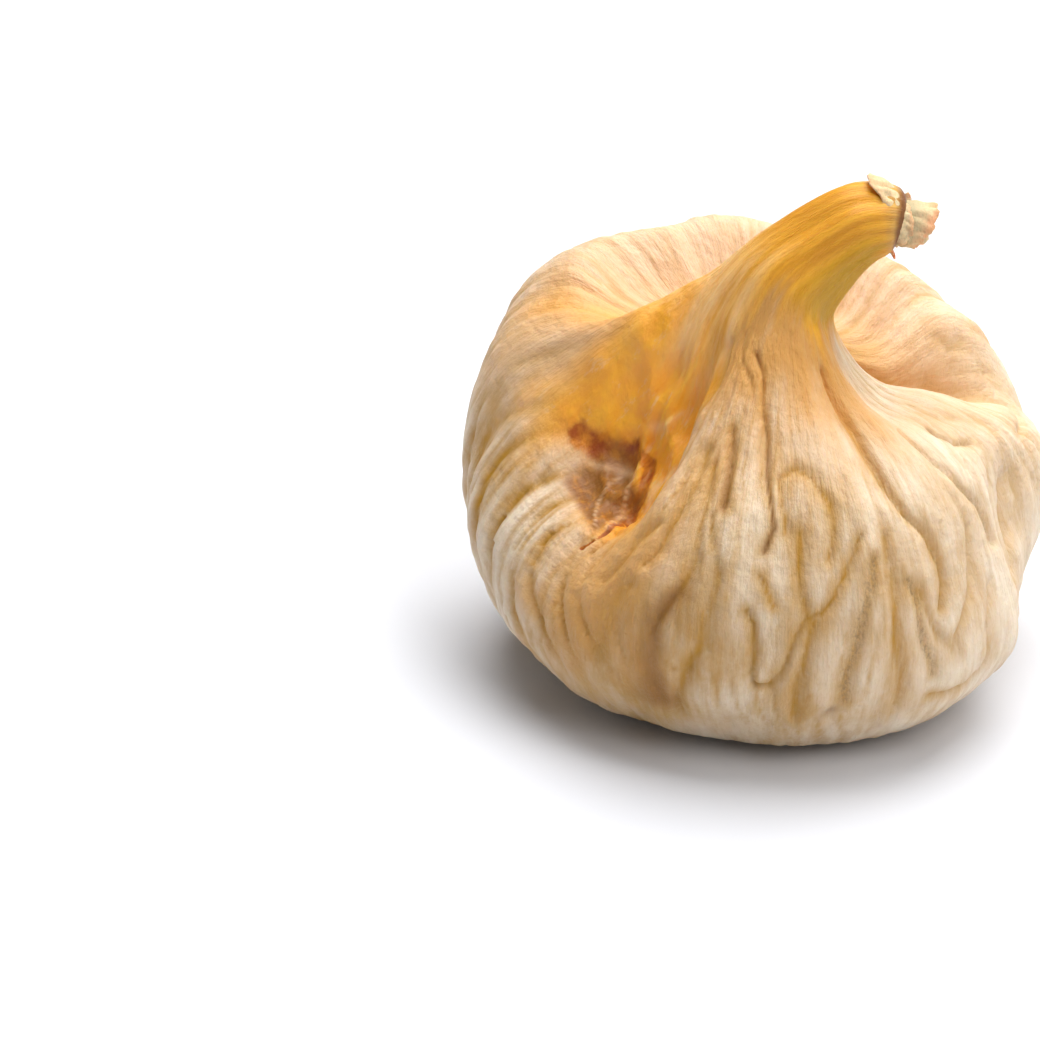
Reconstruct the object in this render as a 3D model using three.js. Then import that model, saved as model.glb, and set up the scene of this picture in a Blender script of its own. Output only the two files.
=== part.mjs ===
// A whole dried fig, standing on its flattened underside with its neck leaning to the right.
//
// The fruit grew as one piece, so it is one closed solid. It has a squat body of uneven lobes, a
// hollow between the neck and the left shoulder, a crease that parts the back lobe from the right
// one, and a neck that bends over and ends in a torn stalk. Its eye is a small pit underneath.
// Lengths are in millimetres, +Z is up, +X is right and -Y is the front. Bearings are in degrees
// about the neck, counted from +X towards +Y, so the back is at 90 and the front at 270.
import * as THREE from "three";

// Driving dimensions.
const BODY_REACH = 20; // from the neck to the widest place of the belly
const BODY_HEIGHT = 28; // from the surface it rests on to its highest shoulder
const SOLE_REACH = 10; // radius of the flat underside
const EYE_REACH = 1.4; // radius of the pit in the underside
const EYE_DEPTH = 1.6;

// Pleats are the shallow folds that run from the neck down to the underside.
const PLEATS = 17;
const PLEAT_DEPTH = 0.3; // half the height from a groove to a ridge, where the body is widest
const PLEAT_SWAY = 0.5; // how far a pleat wanders sideways, in radians of its own wave

// How finely the surface is faceted.
const COLUMNS = 84; // facets round the body
const STEPS_PER_ROW = 3; // facets between one named row of the outline and the next

// The outline of the body. Each line is a bearing and then a point for each of ROWS, as shares of
// BODY_REACH out and BODY_HEIGHT up. The rows run from the foot, where the body leaves the surface,
// over the crest and into the cup round the neck.
const ROWS = ["foot", "belly", "flank", "shoulder", "crest", "cup", "root"];
const OUTLINES = [
  // The right lobe, with its ridge running out from the neck.
  [0, [0.71, 0.1], [0.83, 0.27], [0.88, 0.47], [0.79, 0.64], [0.53, 0.72], [0.33, 0.77], [0.2, 0.9]],
  [11, [0.73, 0.09], [0.89, 0.27], [0.95, 0.49], [0.84, 0.63], [0.58, 0.69], [0.35, 0.74], [0.2, 0.88]],
  // The crease behind it.
  [23, [0.76, 0.08], [0.94, 0.28], [0.98, 0.5], [0.84, 0.61], [0.58, 0.6], [0.36, 0.64], [0.2, 0.86]],
  // The back lobe, which stands higher than the cup.
  [37, [0.78, 0.07], [0.99, 0.28], [1.03, 0.51], [0.94, 0.72], [0.73, 0.8], [0.46, 0.74], [0.21, 0.86]],
  [60, [0.76, 0.06], [0.96, 0.27], [1.0, 0.52], [0.89, 0.79], [0.69, 0.93], [0.43, 0.82], [0.22, 0.88]],
  [90, [0.74, 0.06], [0.93, 0.26], [0.97, 0.54], [0.87, 0.83], [0.68, 0.97], [0.43, 0.85], [0.23, 0.9]],
  [120, [0.76, 0.06], [0.96, 0.26], [1.02, 0.55], [0.93, 0.86], [0.72, 1.0], [0.46, 0.88], [0.25, 0.94]],
  [142, [0.82, 0.06], [1.04, 0.27], [1.13, 0.56], [1.07, 0.85], [0.86, 0.97], [0.54, 0.88], [0.26, 0.99]],
  // The left shoulder, joined to the neck by a ridge.
  [160, [0.83, 0.06], [1.04, 0.27], [1.12, 0.53], [1.03, 0.78], [0.79, 0.88], [0.49, 0.88], [0.26, 1.02]],
  [178, [0.8, 0.06], [1.01, 0.26], [1.06, 0.47], [0.91, 0.68], [0.65, 0.85], [0.42, 0.98], [0.25, 1.07]],
  // The hollow in front of that ridge.
  [196, [0.77, 0.06], [0.97, 0.24], [0.96, 0.41], [0.78, 0.56], [0.58, 0.64], [0.39, 0.8], [0.25, 1.03]],
  [215, [0.74, 0.05], [0.92, 0.22], [0.9, 0.38], [0.76, 0.51], [0.57, 0.57], [0.38, 0.72], [0.24, 1.0]],
  // The front lobe, which falls from the neck with no cup.
  [235, [0.71, 0.05], [0.88, 0.22], [0.88, 0.42], [0.74, 0.6], [0.54, 0.75], [0.36, 0.88], [0.24, 1.0]],
  [252, [0.7, 0.05], [0.86, 0.22], [0.86, 0.44], [0.71, 0.65], [0.51, 0.8], [0.35, 0.91], [0.24, 1.0]],
  [275, [0.71, 0.05], [0.87, 0.22], [0.87, 0.45], [0.71, 0.65], [0.5, 0.8], [0.35, 0.89], [0.23, 0.99]],
  [305, [0.72, 0.05], [0.88, 0.23], [0.88, 0.45], [0.75, 0.64], [0.53, 0.77], [0.35, 0.85], [0.22, 0.96]],
  [330, [0.73, 0.06], [0.88, 0.23], [0.84, 0.45], [0.74, 0.63], [0.55, 0.74], [0.35, 0.8], [0.21, 0.92]],
  // The upright fold between the front lobe and the right one.
  [347, [0.67, 0.07], [0.79, 0.26], [0.79, 0.45], [0.73, 0.64], [0.53, 0.73], [0.34, 0.78], [0.2, 0.91]],
];

// Rings round the neck, from its root to the torn end of the stalk: where each ring's centre lies
// over X and Z, how far it leans from upright in degrees, and its radius.
const NECK_RINGS = [
  { x: 0.8, z: 30.1, lean: 42, radius: 3.65 },
  { x: 3.1, z: 32.3, lean: 55, radius: 3.05 },
  { x: 5.5, z: 33.9, lean: 74, radius: 2.7 },
];
const STALK_RINGS = [
  { x: 7.2, z: 34.0, lean: 92, radius: 2.1 },
  { x: 8.3, z: 33.8, lean: 100, radius: 2.1 },
  { x: 9.4, z: 33.7, lean: 100, radius: 1.6 },
];
const STALK_END = { x: 9.8, z: 33.6 };

// The body's reach and height in each row at any bearing: an eased step from outline to outline.
function outlineAt(bearing) {
  const turned = THREE.MathUtils.euclideanModulo(bearing, 360);
  const next = OUTLINES.findIndex(([start]) => start > turned);
  const [end, ...after] = OUTLINES.at(Math.max(next, 0));
  const [start, ...before] = OUTLINES.at(next < 0 ? -1 : next - 1);
  const span = THREE.MathUtils.euclideanModulo(end - start, 360);
  const share = (turned - start) / span;
  const ease = (1 - Math.cos(Math.PI * share)) / 2;
  return before.map((point, row) => point.map((size, i) => THREE.MathUtils.lerp(size, after[row][i], ease)));
}

// A point of a ring that is tipped over towards +X.
function ringPoint(ring, bearing) {
  const turn = THREE.MathUtils.degToRad(bearing);
  const point = new THREE.Vector3(ring.radius * Math.cos(turn), ring.radius * Math.sin(turn), 0);
  point.applyAxisAngle(new THREE.Vector3(0, 1, 0), THREE.MathUtils.degToRad(ring.lean));
  return point.add(new THREE.Vector3(ring.x, 0, ring.z));
}

// A point of the body, at a reach from the neck and a height.
function bodyPoint(reach, bearing, height) {
  const turn = THREE.MathUtils.degToRad(bearing);
  return new THREE.Vector3(reach * Math.cos(turn), reach * Math.sin(turn), height);
}

// How much of the full pleat depth a row has: none under the body and on the neck, most at the belly.
const PLEAT_SHARES = { foot: 0.5, belly: 1, flank: 1, shoulder: 1, crest: 0.8, cup: 0.5, root: 0.3 };

// The points that one bearing's outline passes through, from the bottom of the eye to the stalk's end.
function guidePoints(bearing) {
  const turn = THREE.MathUtils.degToRad(bearing);
  const points = [
    bodyPoint(0, bearing, EYE_DEPTH),
    bodyPoint(EYE_REACH * 0.7, bearing, EYE_DEPTH * 0.7),
    bodyPoint(EYE_REACH * 1.5, bearing, 0),
    bodyPoint(SOLE_REACH * 0.6, bearing, 0),
    bodyPoint(SOLE_REACH, bearing, 0),
  ];
  outlineAt(bearing).forEach(([reach, height], index) => {
    const wave = Math.cos(PLEATS * turn + PLEAT_SWAY * Math.sin(3 * turn + index));
    const pleat = PLEAT_DEPTH * PLEAT_SHARES[ROWS[index]] * wave;
    points.push(bodyPoint(reach * BODY_REACH + pleat, bearing, height * BODY_HEIGHT));
  });
  [...NECK_RINGS, ...STALK_RINGS].forEach((ring) => points.push(ringPoint(ring, bearing)));
  points.push(new THREE.Vector3(STALK_END.x, 0, STALK_END.z));
  return points;
}

// The closed skin of the fig: one column of points per bearing, with a shared point at each pole.
function figGeometry() {
  const columns = [];
  for (let column = 0; column < COLUMNS; column++) {
    const guides = guidePoints((360 * column) / COLUMNS);
    const curve = new THREE.CatmullRomCurve3(guides, false, "centripetal");
    const steps = (guides.length - 1) * STEPS_PER_ROW;
    columns.push(curve.getPoints(steps).map((p) => p.setZ(Math.max(p.z, 0))));
  }
  const rings = columns[0].length - 2; // the rows of points between the two poles
  const points = [columns[0][0], columns[0].at(-1)];
  columns.forEach((column) => points.push(...column.slice(1, -1)));
  const at = (column, ring) => 2 + (column % COLUMNS) * rings + ring;
  const faces = [];
  for (let column = 0; column < COLUMNS; column++) {
    faces.push(0, at(column + 1, 0), at(column, 0));
    faces.push(1, at(column, rings - 1), at(column + 1, rings - 1));
    for (let ring = 0; ring < rings - 1; ring++) {
      const [a, b] = [at(column, ring), at(column + 1, ring)];
      const [c, d] = [at(column + 1, ring + 1), at(column, ring + 1)];
      faces.push(a, b, c, a, c, d);
    }
  }
  return new THREE.BufferGeometry().setFromPoints(points).setIndex(faces);
}

// The origin is under the middle of the fig, on the surface that it rests on.
function centreOverOrigin(geometry) {
  geometry.computeBoundingBox();
  const middle = geometry.boundingBox.getCenter(new THREE.Vector3());
  return geometry.translate(-middle.x, -middle.y, -geometry.boundingBox.min.z);
}

const skin = new THREE.MeshStandardMaterial({ color: 0xdcc39a, roughness: 0.5, metalness: 0 });
const driedFig = new THREE.Mesh(centreOverOrigin(figGeometry()), skin);
driedFig.name = "dried_fig";

const fig = new THREE.Group();
fig.add(driedFig);

export default fig;
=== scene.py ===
"""A whole dried fig on a pale floor: its pleated skin, leaning neck and torn stalk end.

The skin is one closed surface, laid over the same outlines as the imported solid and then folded
into pleats, creases and crumples. Lengths inside the classes are in millimetres, from the foot of
the neck's axis, with +Z up, +X right and -Y front. Bearings are in degrees about that axis, from +X
towards +Y. A station counts the rows of the outline from the eye: 0 is the eye, 4 the edge of the
sole, 5 the foot, 6 the belly, 7 the flank, 8 the shoulder, 9 the crest, 10 the cup, 11 the root of
the neck, 12 to 14 the neck, 15 to 17 the rim of the stalk and 18 its end.
"""
import logging
import math
from dataclasses import dataclass, field
from enum import Enum

import bpy
import numpy as np
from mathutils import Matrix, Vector


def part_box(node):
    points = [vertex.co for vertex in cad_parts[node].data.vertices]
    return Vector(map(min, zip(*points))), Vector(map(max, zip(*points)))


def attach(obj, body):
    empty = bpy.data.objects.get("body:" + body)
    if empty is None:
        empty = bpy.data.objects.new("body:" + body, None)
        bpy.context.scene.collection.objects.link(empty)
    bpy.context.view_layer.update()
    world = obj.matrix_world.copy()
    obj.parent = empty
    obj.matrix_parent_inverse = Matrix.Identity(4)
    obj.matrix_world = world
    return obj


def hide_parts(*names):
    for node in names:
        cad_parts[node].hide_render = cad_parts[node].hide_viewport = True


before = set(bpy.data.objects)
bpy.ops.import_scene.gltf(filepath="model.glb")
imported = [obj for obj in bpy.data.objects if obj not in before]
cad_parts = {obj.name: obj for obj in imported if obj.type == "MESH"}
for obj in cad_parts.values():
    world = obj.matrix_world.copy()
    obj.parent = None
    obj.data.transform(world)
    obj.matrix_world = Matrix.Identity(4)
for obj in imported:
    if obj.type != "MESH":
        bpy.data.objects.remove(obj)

LOG = logging.getLogger("dried_fig")
NODE = "dried_fig"
MM = 0.001
SOLE_EDGE = 4.0
Color = tuple[float, float, float, float]


# ---------------------------------------------------------------------------------------------
# Shape helpers
# ---------------------------------------------------------------------------------------------


def smooth_step(value: np.ndarray, low: float, high: float) -> np.ndarray:
    """Ease from 0 at low to 1 at high.

    Args:
        value: the numbers to ease.
        low: where the step starts.
        high: where it ends, which may lie below low for a falling step.

    Returns:
        The eased share, from 0 to 1, in the shape of value.
    """
    share = np.clip((value - low) / (high - low), 0.0, 1.0)
    return share * share * (3.0 - 2.0 * share)


def turn_between(bearing: np.ndarray, centre: float) -> np.ndarray:
    """Signed difference between bearings and a centre, from -180 to 180 degrees."""
    return (bearing - centre + 180.0) % 360.0 - 180.0


def bump_at(value: np.ndarray, half_width: float) -> np.ndarray:
    """A soft hill that is 1 at value 0 and almost 0 past twice its half width."""
    return np.exp(-((value / half_width) ** 2))


@dataclass(frozen=True)
class Ripple:
    """Smooth noise over the skin that closes on itself round the fig.

    It is a seeded sum of waves. Each runs a whole number of times round the fig.
    """

    seed: int
    per_turn: float
    per_mm: float
    waves: int = 14

    def at(self, bearing: np.ndarray, path: np.ndarray) -> np.ndarray:
        """The noise at places on the skin.

        Args:
            bearing: bearings in degrees.
            path: distance along the outline in millimetres.

        Returns:
            Values with a mean near 0 and a spread near 1.
        """
        rng = np.random.default_rng(self.seed)
        total = np.zeros(np.broadcast(bearing, path).shape)
        for _ in range(self.waves):
            turns = round(float(rng.normal(0.0, self.per_turn)))
            rise = rng.normal(0.0, self.per_mm)
            phase = rng.uniform(0.0, 2.0 * math.pi)
            total += np.cos(np.radians(bearing) * turns + 2.0 * math.pi * rise * path + phase)
        return total * math.sqrt(2.0 / self.waves)


# ---------------------------------------------------------------------------------------------
# The fig's outline
# ---------------------------------------------------------------------------------------------


@dataclass(frozen=True)
class Ring:
    """A ring round the neck or stalk, tipped over towards +X."""

    x: float
    z: float
    lean: float
    radius: float

    def points(self, bearing: np.ndarray) -> np.ndarray:
        """The ring's points at each bearing, as rows of x, y, z.

        Args:
            bearing: bearings in degrees.

        Returns:
            The points, in millimetres.
        """
        turn, lean = np.radians(bearing), math.radians(self.lean)
        out, side = self.radius * np.cos(turn), self.radius * np.sin(turn)
        return np.stack([self.x + out * math.cos(lean), side, self.z - out * math.sin(lean)], axis=-1)


# Bearing, then reach and height at foot, belly, flank, shoulder, crest, cup and root.
OUTLINES = (
    # The right lobe, with its ridge running out from the neck.
    (0, (0.71, 0.1), (0.83, 0.27), (0.88, 0.47), (0.79, 0.64), (0.53, 0.72), (0.33, 0.77), (0.2, 0.9)),
    (11, (0.73, 0.09), (0.89, 0.27), (0.95, 0.49), (0.84, 0.63), (0.58, 0.69), (0.35, 0.74), (0.2, 0.88)),
    # The crease behind it.
    (23, (0.76, 0.08), (0.94, 0.28), (0.98, 0.5), (0.84, 0.61), (0.58, 0.6), (0.36, 0.64), (0.2, 0.86)),
    # The back lobe, which stands higher than the cup.
    (37, (0.78, 0.07), (0.99, 0.28), (1.03, 0.51), (0.94, 0.72), (0.73, 0.8), (0.46, 0.74), (0.21, 0.86)),
    (60, (0.76, 0.06), (0.96, 0.27), (1.0, 0.52), (0.89, 0.79), (0.69, 0.93), (0.43, 0.82), (0.22, 0.88)),
    (90, (0.74, 0.06), (0.93, 0.26), (0.97, 0.54), (0.87, 0.83), (0.68, 0.97), (0.43, 0.85), (0.23, 0.9)),
    (120, (0.76, 0.06), (0.96, 0.26), (1.02, 0.55), (0.93, 0.86), (0.72, 1.0), (0.46, 0.88), (0.25, 0.94)),
    (142, (0.82, 0.06), (1.04, 0.27), (1.13, 0.56), (1.07, 0.85), (0.86, 0.97), (0.54, 0.88), (0.26, 0.99)),
    # The left shoulder, joined to the neck by a ridge.
    (160, (0.83, 0.06), (1.04, 0.27), (1.12, 0.53), (1.03, 0.78), (0.79, 0.88), (0.49, 0.88), (0.26, 1.02)),
    (178, (0.8, 0.06), (1.01, 0.26), (1.06, 0.47), (0.91, 0.68), (0.65, 0.85), (0.42, 0.98), (0.25, 1.07)),
    # The hollow in front of that ridge.
    (196, (0.77, 0.06), (0.97, 0.24), (0.96, 0.41), (0.78, 0.56), (0.58, 0.64), (0.39, 0.8), (0.25, 1.03)),
    (215, (0.74, 0.05), (0.92, 0.22), (0.9, 0.38), (0.76, 0.51), (0.57, 0.57), (0.38, 0.72), (0.24, 1.0)),
    # The front lobe, which falls from the neck with no cup.
    (235, (0.71, 0.05), (0.88, 0.22), (0.88, 0.42), (0.74, 0.6), (0.54, 0.75), (0.36, 0.88), (0.24, 1.0)),
    (252, (0.7, 0.05), (0.86, 0.22), (0.86, 0.44), (0.71, 0.65), (0.51, 0.8), (0.35, 0.91), (0.24, 1.0)),
    (275, (0.71, 0.05), (0.87, 0.22), (0.87, 0.45), (0.71, 0.65), (0.5, 0.8), (0.35, 0.89), (0.23, 0.99)),
    (305, (0.72, 0.05), (0.88, 0.23), (0.88, 0.45), (0.75, 0.64), (0.53, 0.77), (0.35, 0.85), (0.22, 0.96)),
    (330, (0.73, 0.06), (0.88, 0.23), (0.84, 0.45), (0.74, 0.63), (0.55, 0.74), (0.35, 0.8), (0.21, 0.92)),
    # The upright fold between the front lobe and the right one.
    (347, (0.67, 0.07), (0.79, 0.26), (0.79, 0.45), (0.73, 0.64), (0.53, 0.73), (0.34, 0.78), (0.2, 0.91)),
)


@dataclass(frozen=True)
class Body:
    """The outline of the whole fig, and the smooth surface through it."""

    reach: float = 20.0
    height: float = 28.0
    sole_reach: float = 10.0
    eye_reach: float = 1.4
    eye_depth: float = 1.6
    columns: int = 424
    blend_degrees: float = 4.5
    outlines: tuple = OUTLINES
    rings: tuple[Ring, ...] = (
        Ring(0.8, 30.1, 42.0, 3.65),
        Ring(3.1, 32.3, 55.0, 3.05),
        Ring(5.5, 33.9, 74.0, 2.7),
        Ring(7.4, 34.0, 98.0, 2.15),
        Ring(7.7, 33.9, 106.0, 1.5),
        Ring(7.35, 33.9, 106.0, 0.9),
    )
    stalk_end: tuple[float, float] = (7.25, 33.9)
    # Rows of facets between one station and the next, from the eye to the stalk's end.
    steps: tuple[int, ...] = (3, 3, 9, 9, 16, 20, 20, 20, 20, 17, 18, 16, 13, 12, 6, 6, 8, 3)

    def bearings(self) -> np.ndarray:
        """The bearing of each column of the surface."""
        return np.arange(self.columns) * 360.0 / self.columns

    def _outline_at(self, bearing: np.ndarray) -> np.ndarray:
        """Reach and height in each named row at each bearing, eased from outline to outline.

        Args:
            bearing: bearings in degrees, from 0 to 360.

        Returns:
            An array of bearing, row, and reach or height, in millimetres.
        """
        starts = np.array([line[0] for line in self.outlines], float)
        table = np.array([line[1:] for line in self.outlines], float)
        before = np.searchsorted(starts, bearing, side="right") - 1
        after = (before + 1) % len(starts)
        span = (starts[after] - starts[before]) % 360.0
        ease = (1.0 - np.cos(math.pi * ((bearing - starts[before]) % 360.0) / span)) / 2.0
        rows = table[before] + (table[after] - table[before]) * ease[:, None, None]
        offsets = np.arange(-12, 13)
        weights = bump_at(offsets * 360.0 / self.columns, self.blend_degrees)
        blended = sum(w * np.roll(rows, k, axis=0) for k, w in zip(offsets, weights / weights.sum()))
        return blended * np.array([self.reach, self.height])

    def _guides(self, bearing: np.ndarray) -> np.ndarray:
        """The points that each column passes through, one for each station.

        Args:
            bearing: the bearing of each column, in degrees.

        Returns:
            The points as column, station and x, y, z, in millimetres.
        """
        turn = np.radians(bearing)

        def ring(reach: np.ndarray | float, height: np.ndarray | float) -> np.ndarray:
            """A level ring of points about the neck's axis."""
            level = np.broadcast_to(height, turn.shape)
            return np.stack([reach * np.cos(turn), reach * np.sin(turn), level], axis=-1)

        guides = [
            ring(0.0, self.eye_depth),
            ring(self.eye_reach * 0.7, self.eye_depth * 0.7),
            ring(self.eye_reach * 1.5, 0.0),
            ring(self.sole_reach * 0.6, 0.0),
            ring(self.sole_reach, 0.0),
        ]
        rows = self._outline_at(bearing)
        guides += [ring(rows[:, i, 0], rows[:, i, 1]) for i in range(rows.shape[1])]
        guides += [neck.points(bearing) for neck in self.rings]
        end = np.array([self.stalk_end[0], 0.0, self.stalk_end[1]])
        guides.append(np.broadcast_to(end, (len(bearing), 3)))
        return np.stack(guides, axis=1)

    def surface(self) -> tuple[np.ndarray, np.ndarray]:
        """The smooth surface, as a grid of points.

        Returns:
            The points as column, row and x, y, z, and the station of each row.
        """
        guides = self._guides(self.bearings())
        first = 2.0 * guides[:, :1] - guides[:, 1:2]
        last = 2.0 * guides[:, -1:] - guides[:, -2:-1]
        points = np.concatenate([first, guides, last], axis=1)
        gaps = np.maximum(np.linalg.norm(np.diff(points, axis=1), axis=2), 1e-4) ** 0.5
        rows, stations = [], []
        for i, count in enumerate(self.steps):
            p0, p1, p2, p3 = (points[:, i + k] for k in range(4))
            g0, g1, g2 = (gaps[:, i + k, None] for k in range(3))
            leave = ((p1 - p0) / g0 - (p2 - p0) / (g0 + g1) + (p2 - p1) / g1) * g1
            arrive = ((p2 - p1) / g1 - (p3 - p1) / (g1 + g2) + (p3 - p2) / g2) * g1
            last_step = count + (i == len(self.steps) - 1)
            for step in range(last_step):
                t = step / count
                cubic = (2 * t**3 - 3 * t**2 + 1) * p1 + (t**3 - 2 * t**2 + t) * leave
                cubic += (-2 * t**3 + 3 * t**2) * p2 + (t**3 - t**2) * arrive
                rows.append(cubic)
                stations.append(i + t)
        grid = np.stack(rows, axis=1)
        grid[..., 2] = np.maximum(grid[..., 2], 0.0)
        return grid, np.array(stations)


# ---------------------------------------------------------------------------------------------
# Folds of the skin
# ---------------------------------------------------------------------------------------------


class Tone(str, Enum):
    """The stain that a crease has gathered; on two creases of the front lobe the brown is partly painted
    shadow.
    """

    GOLD = "gold"
    BROWN = "brown"
    SOOT = "soot"
    RUSSET = "russet"
    FLAKE = "flake"


@dataclass(frozen=True)
class Crease:
    """A groove laid on the skin through listed (bearing, station) points."""

    name: str
    points: tuple[tuple[float, float], ...]
    width: float = 0.45
    depth: float = 0.3
    tone: Tone = Tone.GOLD


CREASES = (
    # The upper part of the front lobe.
    Crease("left_edge", ((223, 10.7), (227, 10.0), (224.5, 9.6), (219, 9.4), (218.5, 9.1)),
           0.9, 0.7, Tone.GOLD),
    Crease("short_slit", ((246.5, 9.25), (251, 8.6), (252.5, 8.2)), 0.5, 0.35, Tone.BROWN),
    Crease("short_slit_foot", ((250, 8.1), (251.5, 7.75)), 0.5, 0.25),
    Crease("middle_slit", ((254.5, 10.5), (259, 9.8), (262, 9.15), (264, 8.7), (265.5, 8.35),
                           (266.5, 8.0), (264.5, 7.75)), 0.3, 0.38, Tone.BROWN),
    Crease("neck_curl", ((237.5, 10.9), (246, 10.2), (252, 9.85)), 0.35, 0.2),
    Crease("arch", ((269.5, 7.95), (268.5, 8.55), (274, 8.65), (279, 8.55), (281.5, 8.25),
                    (280, 7.65)), 0.42, 0.25),
    Crease("left_fan_one", ((239, 9.0), (240.5, 8.55), (240.5, 8.15), (237.5, 7.8), (234, 7.6)),
           0.6, 0.38),
    Crease("left_fan_two", ((244, 8.75), (247, 8.25), (247.5, 7.9), (246.5, 7.65)), 0.6, 0.35),
    Crease("right_slash", ((298, 10.45), (296, 10.0), (297.5, 9.45), (297.5, 8.85), (299.5, 8.45),
                           (301.5, 8.1), (306, 7.8), (308, 7.45), (308.5, 7.2), (307, 6.9)),
           0.45, 0.6, Tone.GOLD),
    Crease("far_slash", ((319, 9.1), (319, 8.55), (323, 8.15), (328, 7.85), (330.5, 7.45),
                         (331.5, 7.2)), 0.4, 0.5, Tone.SOOT),
    Crease("tan_band", ((317, 8.2), (320.5, 7.65), (319, 7.3), (316, 6.85)), 0.9, 0.15),
    # The belly of the front lobe.
    Crease("left_fan_foot", ((246.5, 7.65), (244, 7.3), (242.5, 7.1), (240, 6.8)),
           0.8, 0.38, Tone.GOLD),
    # These two broad brown creases are partly the fig's own stain and partly painted shadow of a
    # neighbouring fruit that is not built.
    Crease("left_fan_stain_and_shadow", ((243.5, 7.3), (241.5, 7.0), (240.5, 6.8)), 1.3, 0.2, Tone.BROWN),
    Crease("left_shade", ((240.5, 6.9), (240, 6.4), (242, 5.9)), 2.0, 0.3, Tone.BROWN),
    Crease("far_left_stain", ((232, 7.35), (228, 7.0), (227, 6.5)), 1.2, 0.3, Tone.GOLD),
    Crease("far_left_fold", ((236, 8.1), (231, 7.9), (225, 7.4)), 0.7, 0.35, Tone.GOLD),
    Crease("long_left", ((253.5, 7.5), (252.5, 7.2), (251, 6.75), (248.5, 6.55), (247.5, 6.25),
                         (246, 5.65)), 0.9, 0.4),
    Crease("left_link", ((243.5, 6.5), (245, 6.4), (248, 6.45)), 0.4, 0.2),
    Crease("loop", ((260, 7.15), (261.5, 7.0), (261, 6.7), (261, 6.4), (262.5, 6.25), (266, 6.25),
                    (268, 6.4), (269.5, 6.65), (271, 6.85), (274, 7.05)), 0.42, 0.38),
    Crease("fork_stem", ((274, 7.05), (273, 7.35), (273, 7.7), (273, 7.95)), 0.5, 0.25),
    Crease("fork_branch", ((274, 7.05), (277.5, 7.1), (280.5, 7.25), (284, 7.5), (287.5, 7.9)),
           0.42, 0.32),
    Crease("fork_foot", ((275.5, 7.0), (274, 6.75), (273, 6.5), (272, 6.25), (271.5, 5.8)), 0.85, 0.3),
    Crease("nick", ((263.5, 7.5), (265, 7.35), (266, 7.2)), 0.4, 0.15),
    Crease("sooty", ((291, 7.65), (288.5, 7.25), (286.5, 7.0), (285, 6.65), (283, 6.4), (283, 6.05)),
           0.55, 0.25, Tone.SOOT),
    Crease("gold_band", ((294, 7.85), (295, 7.5), (295, 7.2), (294.5, 6.8), (295, 6.45), (296, 5.85)),
           0.75, 0.3),
    Crease("grey_line", ((298.5, 7.35), (301, 7.0), (301.5, 6.55), (302.5, 6.2)), 0.35, 0.3, Tone.SOOT),
    Crease("vee", ((301.5, 7.2), (303.5, 6.9), (305.5, 6.6), (307.5, 6.4), (309, 6.55), (313, 6.75),
                   (316.5, 6.95), (319, 7.3), (321, 7.65)), 0.42, 0.32),
    Crease("outer", ((324, 6.85), (320, 6.45), (319.5, 6.0), (312.5, 5.9), (303.5, 5.9)), 0.4, 0.2),
    # The right lobe and the crease behind its ridge.
    Crease("ridge_nick", ((333.5, 8.95), (337, 8.6), (345, 8.4)), 0.4, 0.4, Tone.BROWN),
    Crease("ridge_back", ((35, 10.6), (33, 10.25), (31, 9.95), (28.5, 9.3), (26, 8.85), (25, 8.45),
                          (23.5, 8.0), (21.5, 7.7), (9, 7.8)), 0.9, 0.5),
    Crease("back_dimple", ((34, 9.2), (32, 8.9), (32.5, 8.6)), 0.5, 0.2, Tone.GOLD),
    Crease("back_stripe", ((29.5, 8.8), (28, 8.15), (25.5, 7.6)), 0.6, 0.2),
    Crease("ridge_stripe", ((340, 9.3), (351, 8.75), (357, 8.4), (354.5, 8.0), (352, 7.7)), 0.8, 0.15),
    Crease("side_fold", ((350, 7.5), (347, 6.9), (342, 6.6)), 1.3, 0.6, Tone.GOLD),
    # The hollow: its lip, its red-brown pocket and the clear, flaky facet under the pocket.
    Crease("lip", ((212.5, 7.8), (213, 8.5), (214, 9.0)), 0.5, 0.4, Tone.BROWN),
    Crease("pocket", ((189, 8.6), (193, 8.85), (198, 9.1)), 1.3, 0.9, Tone.RUSSET),
    Crease("pocket_rim", ((198, 9.15), (207, 9.3), (212, 9.05), (213, 8.7)), 0.5, 0.5, Tone.RUSSET),
    Crease("pocket_foot", ((209, 7.75), (211, 8.3), (212, 8.7)), 0.3, 0.3, Tone.RUSSET),
    Crease("facet_top", ((192, 8.5), (199, 8.95), (206, 9.05)), 0.26, -0.2, Tone.FLAKE),
    Crease("facet_side", ((206, 9.05), (211, 8.75), (210.5, 8.3)), 0.22, -0.12, Tone.FLAKE),
    Crease("facet_fold", ((199, 8.95), (203, 8.5), (208, 8.2)), 0.2, -0.1, Tone.FLAKE),
    Crease("web_flake", ((208, 10.0), (204, 9.7), (199, 9.55)), 0.35, -0.12, Tone.FLAKE),
    Crease("web_flake_low", ((216, 9.5), (213, 9.25), (216, 8.9)), 0.3, -0.12, Tone.FLAKE),
)


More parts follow.
